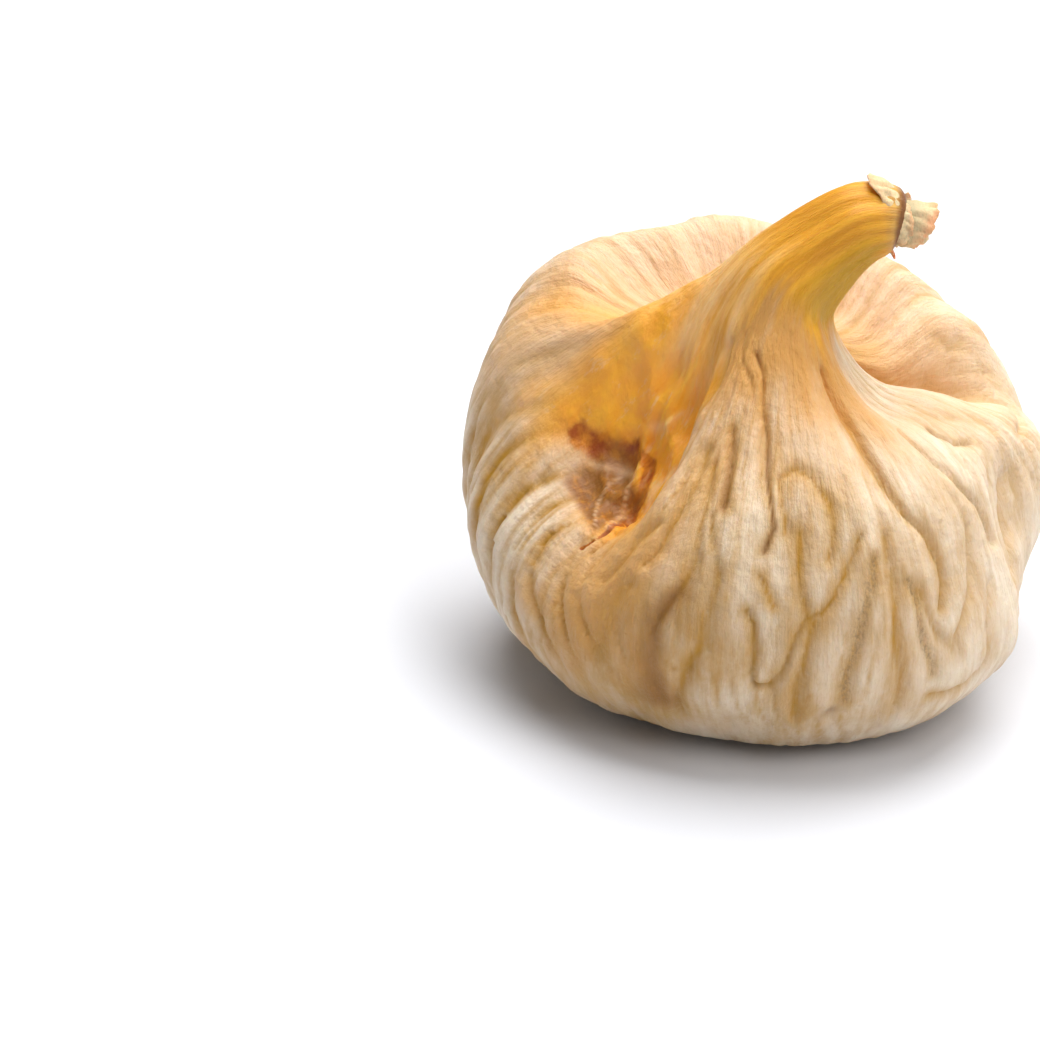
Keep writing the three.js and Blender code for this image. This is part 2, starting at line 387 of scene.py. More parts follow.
@dataclass
class SkinMap:
    """Where every point of the skin is, in the terms that folds are laid out in."""

    bearing: np.ndarray
    station: np.ndarray
    path: np.ndarray
    girth: np.ndarray

    @classmethod
    def of(cls, body: Body, grid: np.ndarray, stations: np.ndarray) -> "SkinMap":
        """Measure a surface.

        Args:
            body: the fig's outline.
            grid: its points as column, row and x, y, z.
            stations: the station of each row.

        Returns:
            The map, with one value for each point of the grid.
        """
        bearing = np.repeat(body.bearings()[:, None], grid.shape[1], axis=1)
        station = np.repeat(stations[None, :], grid.shape[0], axis=0)
        gaps = np.linalg.norm(np.diff(grid, axis=1), axis=2).mean(axis=0)
        path = np.concatenate([[0.0], np.cumsum(gaps)])
        path -= np.interp(SOLE_EDGE, stations, path)
        around = np.linalg.norm(np.roll(grid, -1, axis=0) - np.roll(grid, 1, axis=0), axis=2)
        girth = around / (2.0 * math.radians(360.0 / body.columns))
        girth = np.maximum(girth.mean(axis=0)[None, :] * 0.5 + girth * 0.5, 0.05)
        return cls(bearing, station, np.repeat(path[None, :], grid.shape[0], axis=0), girth)

    def path_at(self, station: float) -> float:
        """Distance along the outline, in millimetres, of a station."""
        return float(np.interp(station, self.station[0], self.path[0]))


@dataclass(frozen=True)
class Zone:
    """A soft-edged patch of the skin.

    Its edges fade by the first soft length in degrees and by the second in stations.
    """

    bearings: tuple[float, float]
    stations: tuple[float, float]
    soft: tuple[float, float] = (8.0, 0.5)
    strength: float = 1.0

    def on(self, skin: SkinMap) -> np.ndarray:
        """Lay the patch on the skin.

        Args:
            skin: the map of the skin.

        Returns:
            The patch's strength inside it, and 0 outside it.
        """
        (first, last), (bottom, top), (aside, ahead) = self.bearings, self.stations, self.soft
        half = (last - first) / 2.0
        away = np.abs(turn_between(skin.bearing, first + half))
        sideways = smooth_step(away, half + aside, half - aside)
        low = smooth_step(skin.station, bottom - ahead, bottom + ahead)
        high = smooth_step(skin.station, top + ahead, top - ahead)
        return self.strength * sideways * low * high


def strongest(zones: tuple[Zone, ...], skin: SkinMap) -> np.ndarray:
    """The greatest value of several patches at every point of the skin."""
    return np.maximum.reduce([zone.on(skin) for zone in zones])


@dataclass(frozen=True)
class Pleats:
    """The puffy, branching pleats between the neck and the sole."""

    count: int
    length: float
    groove: float
    rise: float
    stain: float
    seed: int

    def _across(self, place: np.ndarray, seed_place: float) -> np.ndarray:
        """Distance round the fig from a pleat's middle, in pleats, the short way round."""
        return (place - seed_place + self.count / 2.0) % self.count - self.count / 2.0

    def field(self, skin: SkinMap) -> tuple[np.ndarray, np.ndarray]:
        """How far each point lies from the nearest groove, and from the nearest end of a pleat.

        Args:
            skin: the map of the skin.

        Returns:
            The distance to a groove as a share of a pleat's width, 0 in it and about 0.5 on a pleat,
            and the distance to a pleat's end as a share of its length.
        """
        rng = np.random.default_rng(self.seed)
        across = skin.bearing * self.count / 360.0
        across = across + 0.45 * Ripple(self.seed + 1, 4.0, 0.035).at(skin.bearing, skin.path)
        along = skin.path / self.length + 0.1 * Ripple(self.seed + 2, 5.0, 0.05).at(skin.bearing, skin.path)
        rows = range(-2, int(skin.path.max() / self.length) + 3)
        middles = np.array([
            (i + 0.5 * (row % 2) + rng.uniform(-0.3, 0.3), row + rng.uniform(-0.45, 0.45))
            for row in rows for i in range(self.count)
        ])
        best, nearest = np.full(across.shape, 9.0), np.zeros(across.shape, int)
        for index, (u, v) in enumerate(middles):
            distance = self._across(across, u) ** 2 + (along - v) ** 2
            closer = distance < best
            best[closer] = distance[closer]
            nearest[closer] = index
        own_u, own_v = self._across(across, middles[nearest, 0]), along - middles[nearest, 1]
        edge, tip = np.full(across.shape, 9.0), np.full(across.shape, 9.0)
        for index, (u, v) in enumerate(middles):
            other_u, other_v = self._across(across, u), along - v
            gap_u, gap_v = own_u - other_u, own_v - other_v
            gap = np.maximum(np.hypot(gap_u, gap_v), 1e-6)
            reach = np.abs((own_u + other_u) * gap_u + (own_v + other_v) * gap_v) / (2.0 * gap)
            near = (nearest != index) & (gap < 3.0)
            upright = np.abs(gap_u) > 0.35 * gap
            edge = np.where(near & upright, np.minimum(edge, reach), edge)
            tip = np.where(near & ~upright, np.minimum(tip, reach), tip)
        return edge, tip


@dataclass(frozen=True)
class Folds:
    """Everything that is folded into the skin, and the stains that follow the folds."""

    pleats: Pleats = Pleats(46, 17.0, groove=0.24, rise=0.13, stain=1.0, seed=11)
    wrinkles: Pleats = Pleats(78, 11.0, groove=0.22, rise=0.055, stain=0.6, seed=29)
    creases: tuple[Crease, ...] = CREASES
    # The part of the front lobe where the listed creases take the pleats' place.
    hand_laid: Zone = Zone((238.0, 330.0), (5.2, 10.6), (9.0, 0.4))
    # Where pleats and wrinkles are shallower, by each zone's strength.
    calmed: tuple[Zone, ...] = (
        Zone((5.0, 205.0), (8.3, 12.0), (20.0, 0.8), 0.5),
        Zone((215.0, 350.0), (9.6, 12.0), (12.0, 0.7), 0.6),
        Zone((176.0, 230.0), (8.2, 12.0), (8.0, 0.6), 0.75),
        Zone((328.0, 400.0), (6.2, 9.6), (12.0, 0.7), 0.4),
    )
    # Where stains are fainter, by each zone's strength.
    cleaned: tuple[Zone, ...] = (
        Zone((308.0, 400.0), (5.5, 9.8), (14.0, 0.6), 0.5),
        Zone((150.0, 205.0), (8.4, 11.0), (12.0, 0.6), 0.45),
        Zone((206.0, 330.0), (10.3, 13.0), (12.0, 0.5), 0.5),
    )
    # The crumpled, flaky skin in the hollow beside the neck.
    crumpled: Zone = Zone((180.0, 228.0), (8.4, 10.5), (9.0, 0.7))
    # A crease is a narrow slot in a wide roll, with a stain in it and a gold halo round that. Each
    # has its share of the crease's depth or strength, and of its width.
    slot: tuple[float, float] = (0.8, 0.6)
    roll: tuple[float, float] = (0.4, 2.6)
    stain_width: float = 0.7
    halo: tuple[float, float] = (0.75, 2.2)
    # The bearing, the station and the half width, in millimetres, of two single dents.
    blemish: tuple[float, float, float] = (280.0, 5.86, 0.55)
    pocket: tuple[float, float, float] = (201.0, 8.75, 3.2)

    def _distance(self, skin: SkinMap, points: tuple[tuple[float, float], ...]) -> np.ndarray:
        """How far each point of the skin is from a line.

        Args:
            skin: the map of the skin.
            points: the bearing and station of each point of the line, or of a lone point.

        Returns:
            The distances in millimetres.
        """
        nearest = np.full(skin.path.shape, 99.0)
        for (b0, s0), (b1, s1) in zip(points, points[1:] or points):
            x = np.radians(turn_between(skin.bearing, b0)) * skin.girth
            y = skin.path - skin.path_at(s0)
            step_x = math.radians(float(turn_between(np.array(b1), b0))) * skin.girth
            step_y = skin.path_at(s1) - skin.path_at(s0)
            share = np.clip((x * step_x + y * step_y) / (step_x**2 + step_y**2 + 1e-9), 0.0, 1.0)
            nearest = np.minimum(nearest, np.hypot(x - share * step_x, y - share * step_y))
        return nearest

    def _creases(self, skin: SkinMap) -> tuple[np.ndarray, dict[str, np.ndarray]]:
        """The relief and the stains of the listed creases.

        Args:
            skin: the map of the skin.

        Returns:
            The relief in millimetres, and tone to a mask from 0 to 1.
        """
        relief = np.zeros(skin.path.shape)
        stains = {tone.value: np.zeros(skin.path.shape) for tone in Tone}
        sideways = 0.2 * Ripple(71, 9.0, 0.10, 24).at(skin.bearing, skin.path)
        swayed = skin.bearing + np.degrees(sideways / skin.girth)
        wobbly = SkinMap(swayed, skin.station, skin.path, skin.girth)
        swell = 1.0 + 0.28 * Ripple(72, 16.0, 0.12, 24).at(skin.bearing, skin.path)
        for crease in self.creases:
            away = self._distance(wobbly, crease.points)
            width = crease.width * np.clip(swell, 0.5, 1.7)
            sunk = sum(crease.depth * share * bump_at(away, width * wide)
                       for share, wide in (self.slot, self.roll))
            relief = np.where(np.abs(sunk) > np.abs(relief), -sunk, relief)
            stain = bump_at(away, width * self.stain_width)
            stains[crease.tone.value] = np.maximum(stains[crease.tone.value], stain)
            if crease.tone not in (Tone.FLAKE, Tone.RUSSET):
                halo = self.halo[0] * bump_at(away, width * self.halo[1])
                stains[Tone.GOLD.value] = np.maximum(stains[Tone.GOLD.value], halo)
        return relief, stains

    def _pleated(self, skin: SkinMap, on_body: np.ndarray) -> tuple[np.ndarray, np.ndarray, np.ndarray]:
        """The relief and the stains of the pleats and the wrinkles.

        Args:
            skin: the map of the skin.
            on_body: 1 on the body, 0 on the sole and on the neck.

        Returns:
            The height in millimetres, how low each point lies in its groove, and the gold lines.
        """
        by_hand = self.hand_laid.on(skin)
        patchy = np.clip(0.85 + 0.4 * Ripple(31, 6.0, 0.06).at(skin.bearing, skin.path), 0.15, 1.3)
        calm = math.prod(1.0 - zone.on(skin) for zone in self.calmed)
        height, low, lines = (np.zeros(skin.path.shape) for _ in range(3))
        for pleats, left in ((self.pleats, 1.0 - 0.9 * by_hand), (self.wrinkles, 1.0 - 0.15 * by_hand)):
            edge, tip = pleats.field(skin)
            lined = smooth_step(tip, 0.0, 0.2)
            amount = on_body * patchy * left * calm
            width = skin.girth * 2.0 * math.pi / pleats.count
            sunk = lined * (1.0 - np.clip(edge / 0.38, 0.0, 1.0)) ** 2.0
            height -= pleats.rise * width * (sunk - 0.2) * amount
            low = np.maximum(low, pleats.stain * sunk * amount)
            line = np.clip(1.0 - edge / pleats.groove, 0.0, 1.0) ** 1.1 * amount * lined
            lines = np.maximum(lines, pleats.stain * line)
        return height, low, lines

    @staticmethod
    def _uneven(skin: SkinMap, on_body: np.ndarray) -> np.ndarray:
        """The height of the dents, the fine threads and the neck's soft ridges.

        Args:
            skin: the map of the skin.
            on_body: 1 on the body, 0 on the sole and on the neck.

        Returns:
            The height in millimetres.
        """
        dents = 0.3 * Ripple(41, 4.0, 0.03).at(skin.bearing, skin.path)
        dents += 0.10 * Ripple(42, 14.0, 0.05, 24).at(skin.bearing, skin.path)
        threads = 0.03 * Ripple(51, 60.0, 0.03, 60).at(skin.bearing, skin.path)
        threads += 0.022 * Ripple(52, 45.0, 0.3, 60).at(skin.bearing, skin.path)
        threads *= smooth_step(skin.station, 4.2, 5.4) * smooth_step(skin.station, 12.4, 10.0)
        ridges = 0.10 * Ripple(53, 5.0, 0.04).at(skin.bearing, skin.path)
        ridges += 0.025 * Ripple(54, 14.0, 0.12, 30).at(skin.bearing, skin.path)
        ridges *= smooth_step(skin.station, 10.6, 12.0) * smooth_step(skin.station, 15.6, 14.4)
        return dents * on_body * np.clip(skin.girth / 14.0, 0.12, 1.0) + threads + ridges

    def fields(self, skin: SkinMap) -> tuple[np.ndarray, dict[str, np.ndarray]]:
        """How high the skin stands off its smooth surface, and its stains.

        Args:
            skin: the map of the skin.

        Returns:
            The height in millimetres, and tone to a mask from 0 to 1.
        """
        on_body = smooth_step(skin.station, 4.4, 5.8) * smooth_step(skin.station, 12.2, 10.6)
        height, low, lines = self._pleated(skin, on_body)
        relief, stains = self._creases(skin)
        height += relief + self._uneven(skin, on_body)
        stains[Tone.GOLD.value] = np.maximum(stains[Tone.GOLD.value], lines)
        stains["low"] = np.clip(low - relief, 0.0, 1.0)
        clean = 1.0 - sum(zone.on(skin) for zone in self.cleaned)
        stains = {name: stain * clean for name, stain in stains.items()}
        spot = self._distance(skin, (self.blemish[:2],))
        height -= 0.25 * bump_at(spot, self.blemish[2])
        speck = 0.7 * bump_at(spot, self.blemish[2])
        stains[Tone.BROWN.value] = np.maximum(stains[Tone.BROWN.value], speck)
        return height - self._hollow(skin), stains

    def _hollow(self, skin: SkinMap) -> np.ndarray:
        """How far the pocket and the crumpled web beside the neck sink in, in millimetres.

        Args:
            skin: the map of the skin.

        Returns:
            The depth, positive inwards.
        """
        sunk = bump_at(self._distance(skin, (self.pocket[:2],)), self.pocket[2])
        web = self.crumpled.on(skin)
        crumple = np.abs(Ripple(81, 14.0, 0.12, 30).at(skin.bearing, skin.path)) - 0.8
        flakes = np.abs(Ripple(82, 45.0, 0.22, 40).at(skin.bearing, skin.path)) - 0.8
        return sunk * (1.0 + 0.45 * crumple) + web * (0.3 * crumple + 0.10 * flakes)


# ---------------------------------------------------------------------------------------------
# Finishes
# ---------------------------------------------------------------------------------------------


class Nodes:
    """A short way to place and join the nodes of one tree."""

    def __init__(self, tree: bpy.types.NodeTree) -> None:
        """Take the tree that the nodes go in."""
        self.tree = tree

    def add(self, kind: str, inputs: dict | None = None, **settings: object) -> bpy.types.Node:
        """Place a node.

        Args:
            kind: the node's type name.
            inputs: socket name or number to a value, or to the socket that feeds it.
            settings: the node's own properties.

        Returns:
            The new node.
        """
        node = self.tree.nodes.new(kind)
        for name, value in settings.items():
            setattr(node, name, value)
        for key, value in (inputs or {}).items():
            if isinstance(value, bpy.types.NodeSocket):
                self.tree.links.new(value, node.inputs[key])
            else:
                node.inputs[key].default_value = value
        return node

    def mix(self, share: object, low: object, high: object) -> bpy.types.NodeSocket:
        """Mix two colours, each a value or a socket, with a share of the second one."""
        return self.add("ShaderNodeMix", {0: share, 6: low, 7: high}, data_type="RGBA").outputs[2]

    def layers(self, base: object, *layers: tuple[object, object]) -> bpy.types.NodeSocket:
        """Lay colours over a base, one after the other.

        Args:
            base: the colour at the bottom, or its socket.
            layers: how much each colour covers, and the colour, each a value or a socket.

        Returns:
            The socket with the last colour laid.
        """
        for share, color in layers:
            base = self.mix(share, base, color)
        return base

    def math(self, operation: str, first: object, second: object) -> bpy.types.NodeSocket:
        """One operation of two numbers or sockets."""
        return self.add("ShaderNodeMath", {0: first, 1: second}, operation=operation).outputs[0]

    def share(self, first: object, *others: object) -> bpy.types.NodeSocket:
        """The product of several shares, each a number or a socket.

        Args:
            first: the first share.
            others: the shares it is multiplied by.

        Returns:
            The product, or its socket.
        """
        for other in others:
            first = self.math("MULTIPLY", first, other)
        return first

    def step(self, value: object, low: float, high: float) -> bpy.types.NodeSocket:
        """Ease a socket from 0 at low to 1 at high."""
        settings = {"Value": value, "From Min": low, "From Max": high}
        return self.add("ShaderNodeMapRange", settings, interpolation_type="SMOOTHSTEP").outputs[0]

    def mask(self, name: str) -> bpy.types.NodeSocket:
        """The value of a named mask painted on the mesh."""
        return self.add("ShaderNodeAttribute", attribute_name=name).outputs["Fac"]

    def noise(self, coordinate: bpy.types.NodeSocket, scale: float, detail: float = 4.0,
              roughness: float = 0.55, stretch: tuple[float, float, float] = (1.0, 1.0, 1.0)
              ) -> bpy.types.NodeSocket:
        """Smooth noise, stretched along the skin.

        Args:
            coordinate: the socket with the place on the skin.
            scale: patches per millimetre.
            detail: how many finer layers it has.
            roughness: how strong those layers are.
            stretch: the scale on each axis.

        Returns:
            The socket with the noise, from 0 to 1.
        """
        mapped = self.add("ShaderNodeMapping", {"Vector": coordinate, "Scale": stretch}).outputs[0]
        settings = {"Vector": mapped, "Scale": scale, "Detail": detail, "Roughness": roughness}
        return self.add("ShaderNodeTexNoise", settings).outputs["Fac"]


def new_group(name: str, inputs: dict[str, tuple[str, object]], outputs: dict[str, str]
              ) -> bpy.types.NodeTree:
    """Make an empty shader group with named sockets.

    Args:
        name: the group's name.
        inputs: socket name to its kind and its usual value.
        outputs: socket name to its kind.

    Returns:
        The group's tree, with its input and output nodes in it.
    """
    tree = bpy.data.node_groups.new(name, "ShaderNodeTree")
    for label, (kind, value) in inputs.items():
        socket = tree.interface.new_socket(label, in_out="INPUT", socket_type=f"NodeSocket{kind}")
        if value is not None:
            socket.default_value = value
    for label, kind in outputs.items():
        tree.interface.new_socket(label, in_out="OUTPUT", socket_type=f"NodeSocket{kind}")
    return tree


class SharedEffects:
    """The shader groups that more than one finish uses, each built once."""

    def __init__(self) -> None:
        """Build the groups."""
        self.fibres = self._fibres()
        self.grain = self._grain()

    @staticmethod
    def _fibres() -> bpy.types.NodeTree:
        """Fine streaks that run lengthwise over the skin.

        Returns:
            The group's tree.
        """
        tree = new_group(
            "lengthwise_fibres",
            {"Place": ("Vector", None), "Fineness": ("Float", 1.0)},
            {"Streaks": "Float", "Threads": "Float"},
        )
        nodes = Nodes(tree)
        given = nodes.add("NodeGroupInput").outputs
        placed = nodes.add("ShaderNodeVectorMath", {0: given["Place"], 3: given["Fineness"]},
                           operation="SCALE").outputs[0]
        streaks = nodes.noise(placed, 1.3, 5.0, 0.62, (1.0, 1.0, 0.17))
        threads = nodes.noise(placed, 4.5, 4.0, 0.6, (1.0, 1.0, 0.13))
        nodes.add("NodeGroupOutput", {"Streaks": streaks, "Threads": threads})
        return tree

    @staticmethod
    def _grain() -> bpy.types.NodeTree:
        """Fine grain and small crumples over the skin.

        Returns:
            The group's tree.
        """
        tree = new_group(
            "fine_grain",
            {"Place": ("Vector", None)},
            {"Grain": "Float", "Crumple": "Float"},
        )
        nodes = Nodes(tree)
        place = nodes.add("NodeGroupInput").outputs["Place"]
        grain = nodes.noise(place, 6.0, 5.0, 0.65, (1.0, 1.0, 0.6))
        crumple = nodes.noise(place, 1.5, 3.0, 0.5, (1.0, 1.0, 0.9))
        nodes.add("NodeGroupOutput", {"Grain": grain, "Crumple": crumple})
        return tree


def place_group(nodes: Nodes, tree: bpy.types.NodeTree, inputs: dict) -> bpy.types.bpy_prop_collection:
    """Place a shared group in a material.

    Args:
        nodes: the material's nodes.
        tree: the group's tree.
        inputs: socket name to a value, or to the socket that feeds it.

    Returns:
        The group's outputs.
    """
    return nodes.add("ShaderNodeGroup", inputs, node_tree=tree).outputs


@dataclass(frozen=True)
class SkinFinish:
    """Dried fig skin: cream pleats, gold grooves, an amber neck and a red-brown hollow."""

    ivory: Color = (0.83, 0.71, 0.56, 1.0)
    sand: Color = (0.74, 0.57, 0.39, 1.0)
    tan: Color = (0.52, 0.32, 0.125, 1.0)
    blush: Color = (0.66, 0.33, 0.085, 1.0)
    rose: Color = (0.76, 0.46, 0.25, 1.0)
    gold: Color = (0.48, 0.235, 0.022, 1.0)
    # Brown is also painted shade inside the stalk's rim, and partly painted shadow on the left of the front
    # lobe.
    brown: Color = (0.21, 0.072, 0.008, 1.0)
    soot: Color = (0.19, 0.14, 0.085, 1.0)
    amber: Color = (0.70, 0.29, 0.003, 1.0)
    honey: Color = (0.95, 0.47, 0.025, 1.0)
    haze: Color = (0.90, 0.58, 0.28, 1.0)
    olive: Color = (0.46, 0.27, 0.002, 1.0)
    web: Color = (0.88, 0.37, 0.03, 1.0)
    flake: Color = (0.92, 0.64, 0.38, 1.0)
    russet: Color = (0.34, 0.065, 0.003, 1.0)
    facet: Color = (0.27, 0.10, 0.012, 1.0)
    husk: Color = (0.50, 0.42, 0.22, 1.0)

    def material(self, effects: SharedEffects) -> bpy.types.Material:
        """Build the skin's material.

        Args:
            effects: the shader groups that finishes share.

        Returns:
            The material.
        """
        material = bpy.data.materials.new("dried_fig_skin")
        material.use_nodes = True
        material.node_tree.nodes.clear()
        nodes = Nodes(material.node_tree)
        place = nodes.add("ShaderNodeAttribute", attribute_name="skin_place").outputs["Vector"]
        fibres = place_group(nodes, effects.fibres, {"Place": place, "Fineness": 1.0})
        grain = place_group(nodes, effects.grain, {"Place": place})
        color = self._pale_skin(nodes, place, fibres, grain)
        color = self._stains(nodes, color, fibres, grain)
        color = self._warm_parts(nodes, color, place, effects, grain)
        near = nodes.add("ShaderNodeAttribute", attribute_name="neck_place").outputs["Vector"]
        smooth = place_group(nodes, effects.fibres, {"Place": near, "Fineness": 0.7})
        threads = nodes.add("ShaderNodeMix", {
            0: nodes.mask("amber"), 2: fibres["Threads"], 3: smooth["Streaks"],
        }).outputs[0]
        height = nodes.math("ADD", nodes.share(threads, 0.6), nodes.share(grain["Grain"], 0.30))
        height = nodes.math("ADD", height, grain["Crumple"])
        bump = nodes.add("ShaderNodeBump", {"Height": height, "Strength": 0.8, "Distance": 0.00024})
        rough = nodes.add("ShaderNodeMapRange", {
            "Value": grain["Grain"], "To Min": 0.36, "To Max": 0.66,
        }).outputs[0]
        coat = nodes.math(
            "ADD", nodes.share(nodes.mask("amber"), 0.22), nodes.share(nodes.mask("facet"), 0.15))
        shader = nodes.add("ShaderNodeBsdfPrincipled", {
            "Base Color": color,
            "Roughness": rough,
            "Normal": bump.outputs[0],
            "Subsurface Weight": 0.25,
            "Subsurface Radius": (1.0, 0.45, 0.16),
            "Subsurface Scale": 0.0016,
            "Coat Weight": coat,
            "Coat Roughness": 0.28,
            "IOR": 1.42,
        })
        nodes.add("ShaderNodeOutputMaterial", {"Surface": shader.outputs[0]})
        return material

    def _pale_skin(self, nodes: Nodes, place: bpy.types.NodeSocket, fibres: bpy.types.bpy_prop_collection,
                   grain: bpy.types.bpy_prop_collection) -> bpy.types.NodeSocket:
        """The cream skin between the creases, more tan towards the front and darker towards the bottom; on
        the left of the front lobe the tan and umber are partly painted shadow.

        Args:
            nodes: the material's nodes.
            place: the place on the skin.
            fibres: the outputs of the lengthwise fibres.
            grain: the outputs of the fine grain.

        Returns:
            The socket with the skin's colour.
        """
        patches = nodes.noise(place, 0.2, 3.0, 0.55, (1.0, 1.0, 0.6))
        bloom = nodes.noise(place, 0.8, 5.0, 0.65, (1.0, 1.0, 0.4))
        streaks = fibres["Streaks"]
        return nodes.layers(
            self.ivory,
            (nodes.step(patches, 0.35, 0.68), self.sand),
            (nodes.share(nodes.step(streaks, 0.42, 0.72), 0.3), self.tan),
            # Tan: partly painted shadow on the left of the front lobe, and darker towards the bottom round
            # the foot.
            (nodes.share(nodes.mask("tan_and_shadow"), nodes.step(patches, 0.15, 0.65), 0.6), self.tan),
            (nodes.share(nodes.step(bloom, 0.42, 0.66), 0.65), self.ivory),
            # Umber: partly the fig's own colour and partly painted shadow on the left of the front lobe.
            (nodes.share(nodes.mask("umber_and_shadow"), nodes.step(streaks, 0.0, 0.6), 0.75), self.gold),
            (nodes.mask("rose"), self.rose),
            (nodes.share(nodes.step(grain["Grain"], 0.52, 0.72), 0.16), self.gold),
            (nodes.share(nodes.mask("low"), nodes.step(grain["Crumple"], 0.2, 0.6), 0.8), self.tan),
        )

    def _stains(self, nodes: Nodes, color: bpy.types.NodeSocket, fibres: bpy.types.bpy_prop_collection,
                grain: bpy.types.bpy_prop_collection) -> bpy.types.NodeSocket:
        """The gold, brown and sooty stains that lie in the creases; some of the brown on the left of the
        front lobe is painted shadow.

        Args:
            nodes: the material's nodes.
            color: the colour of the skin round them.
            fibres: the outputs of the lengthwise fibres.
            grain: the outputs of the fine grain.

        Returns:
            The socket with the stained colour.
        """
        broken = nodes.add("ShaderNodeMapRange", {
            "Value": fibres["Streaks"], "From Min": 0.2, "From Max": 0.6, "To Min": 0.45, "To Max": 1.0,
        }).outputs[0]
        return nodes.layers(
            color,
            (nodes.share(nodes.mask("gold"), broken), self.gold),
            # Brown stains, partly painted shadow on the left of the front lobe.
            (nodes.share(nodes.mask("brown"), 0.75), self.brown),
            (nodes.share(nodes.step(grain["Grain"], 0.36, 0.75), nodes.mask("soot"), 0.75), self.soot),
        )

    def _warm_parts(self, nodes: Nodes, color: bpy.types.NodeSocket, place: bpy.types.NodeSocket,
                    effects: SharedEffects, grain: bpy.types.bpy_prop_collection) -> bpy.types.NodeSocket:
        """The amber neck, the web and the hollow beside it, the husk colour of the stalk's collar, and
        painted shade inside its rim.

        Args:
            nodes: the material's nodes.
            color: the colour of the skin round them.
            place: the place on the skin.
            effects: the shader groups that finishes share.
            grain: the outputs of the fine grain.

        Returns:
            The socket with the whole skin's colour.
        """
        near = nodes.add("ShaderNodeAttribute", attribute_name="neck_place").outputs["Vector"]
        streaks = place_group(nodes, effects.fibres, {"Place": near, "Fineness": 0.8})["Streaks"]
        neck = nodes.layers(
            self.amber,
            (nodes.step(streaks, 0.35, 0.72), self.honey),
            (nodes.mask("olive"), self.olive),
            (nodes.share(nodes.mask("haze"), nodes.step(streaks, 0.3, 0.62), 0.8), self.haze),
        )
        cloudy = nodes.step(nodes.noise(place, 0.45, 5.0, 0.65, (1.0, 1.0, 0.7)), 0.38, 0.62)
        flaky = nodes.step(nodes.noise(place, 1.0, 4.0, 0.7, (1.0, 1.0, 0.5)), 0.55, 0.70)
        web = nodes.layers(
            self.web,
            (nodes.share(cloudy, 0.75), self.honey),
            (nodes.share(flaky, 0.45), self.flake),
        )
        pocket = nodes.layers(
            self.russet,
            (nodes.share(cloudy, 0.6), self.web),
            (nodes.share(flaky, 0.12), self.web),
        )
        ragged = nodes.math("ADD", nodes.mask("russet"), nodes.share(grain["Crumple"], 0.5))
        facet = nodes.mix(nodes.share(nodes.step(grain["Crumple"], 0.45, 0.75), 0.3), self.facet, self.web)
        husk = nodes.mix(nodes.step(grain["Grain"], 0.42, 0.62), self.husk, self.soot)
        return nodes.layers(
            color,
            (nodes.share(nodes.mask("blush"), nodes.step(streaks, -0.2, 0.55)), self.blush),
            (nodes.mask("amber"), neck),
            (nodes.mask("web"), web),
            (nodes.step(ragged, 0.45, 0.75), pocket),
            (nodes.share(nodes.mask("facet"), 0.95), facet),
            (nodes.share(nodes.mask("flake"), 0.55), self.flake),
            (nodes.share(nodes.mask("collar"), 0.35), husk),
            # Painted shade inside the stalk's rim, in the gap behind the flaps.
            (nodes.mask("rim"), self.brown),
        )


@dataclass(frozen=True)
class HuskFinish:
    """The torn stalk: pale, papery flaps with orange-red torn edges, and painted grey-green shade towards
    their roots.
    """

    cream: Color = (0.82, 0.60, 0.34, 1.0)
    # Grey-green used as painted shade near the flaps' roots, and for flecks in the grain.
    shade_grey: Color = (0.42, 0.36, 0.20, 1.0)
    torn: Color = (0.72, 0.20, 0.055, 1.0)

    def material(self, effects: SharedEffects) -> bpy.types.Material:
        """Build the material of the flaps.

        Args:
            effects: the shader groups that finishes share.

        Returns:
            The material.
        """
        material = bpy.data.materials.new("torn_stalk_husk")
        material.use_nodes = True
        material.node_tree.nodes.clear()
        nodes = Nodes(material.node_tree)
        place = nodes.add("ShaderNodeAttribute", attribute_name="skin_place").outputs["Vector"]
        grain = place_group(nodes, effects.grain, {"Place": place})
        color = nodes.layers(
            self.cream,
            # Painted shade, darkest at the root of the inner flaps.
            (nodes.mask("shade_grey"), self.shade_grey),
            (nodes.share(nodes.step(grain["Grain"], 0.45, 0.65), 0.5), self.shade_grey),
            (nodes.share(nodes.mask("torn"), nodes.step(grain["Crumple"], 0.35, 0.55)), self.torn),
        )
        bump = nodes.add("ShaderNodeBump", {"Height": grain["Grain"], "Strength": 0.7, "Distance": 0.00015})
        shader = nodes.add("ShaderNodeBsdfPrincipled", {
            "Base Color": color,
            "Roughness": 0.6,
            "Normal": bump.outputs[0],
            "Subsurface Weight": 0.2,
            "Subsurface Radius": (1.0, 0.5, 0.25),
            "Subsurface Scale": 0.0005,
        })
        nodes.add("ShaderNodeOutputMaterial", {"Surface": shader.outputs[0]})
        return material


@dataclass(frozen=True)
class FloorFinish:
    """A plain, matt, near-white surface."""

    color: Color = (0.66, 0.675, 0.72, 1.0)

    def material(self) -> bpy.types.Material:
        """Build the floor's material.

        Returns:
            The material.
        """
        material = bpy.data.materials.new("pale_floor")
        material.use_nodes = True
        shader = material.node_tree.nodes["Principled BSDF"]
        shader.inputs["Base Color"].default_value = self.color
        shader.inputs["Roughness"].default_value = 0.9
        return material


# ---------------------------------------------------------------------------------------------
# Sub-assemblies
# ---------------------------------------------------------------------------------------------


